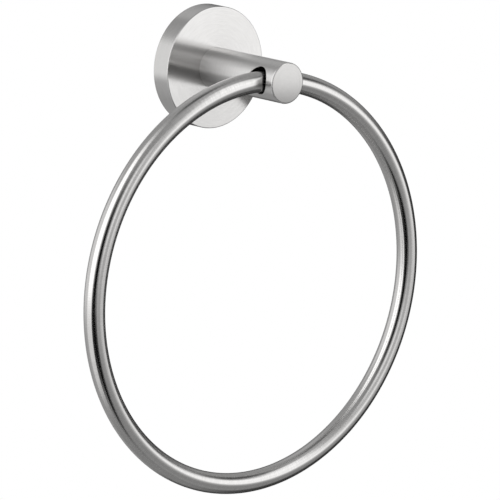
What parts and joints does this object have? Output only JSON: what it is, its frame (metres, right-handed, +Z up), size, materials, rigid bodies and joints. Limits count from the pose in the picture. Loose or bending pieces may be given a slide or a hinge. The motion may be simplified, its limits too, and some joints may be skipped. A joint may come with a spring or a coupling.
{
  "type": "towel ring",
  "caption": "Towel ring in brushed steel: a closed hoop of round bar hangs loose in a hole across a round post, which stands on a round flange over a hidden wall plate.",
  "frame": {"origin": "on the wall plane, where the post's axis meets it, at the centre of the wall plate's two fixing slots", "axes": "+Z up, +Y into the wall, the post runs along -Y, and the hoop hangs parallel to the XZ plane"},
  "size_m": [0.1872, 0.0586, 0.2099],
  "materials": {
    "flange_steel": "fine brushed stainless steel",
    "post_steel": "stainless steel brushed round the bar",
    "ring_steel": "satin stainless steel, brushed round the bar",
    "plate_steel": "plain turned stainless steel",
    "screw_steel": "plain stainless steel"
  },
  "bodies": {
    "wall_mount": {"flange": "flange_steel", "post": "post_steel", "wall_plate": "plate_steel", "lock_screw": "screw_steel", "spring_washer": "screw_steel", "post_screw": "screw_steel"},
    "hoop": {"ring": "ring_steel"}
  },
  "joints": [
    {"name": "ring_swing", "type": "hinge", "parent": "wall_mount", "child": "hoop", "pos_m": [0, -0.0482, -0.00029], "axis": [-1, 0, 0], "range_deg": [-14, 194]}
  ]
}
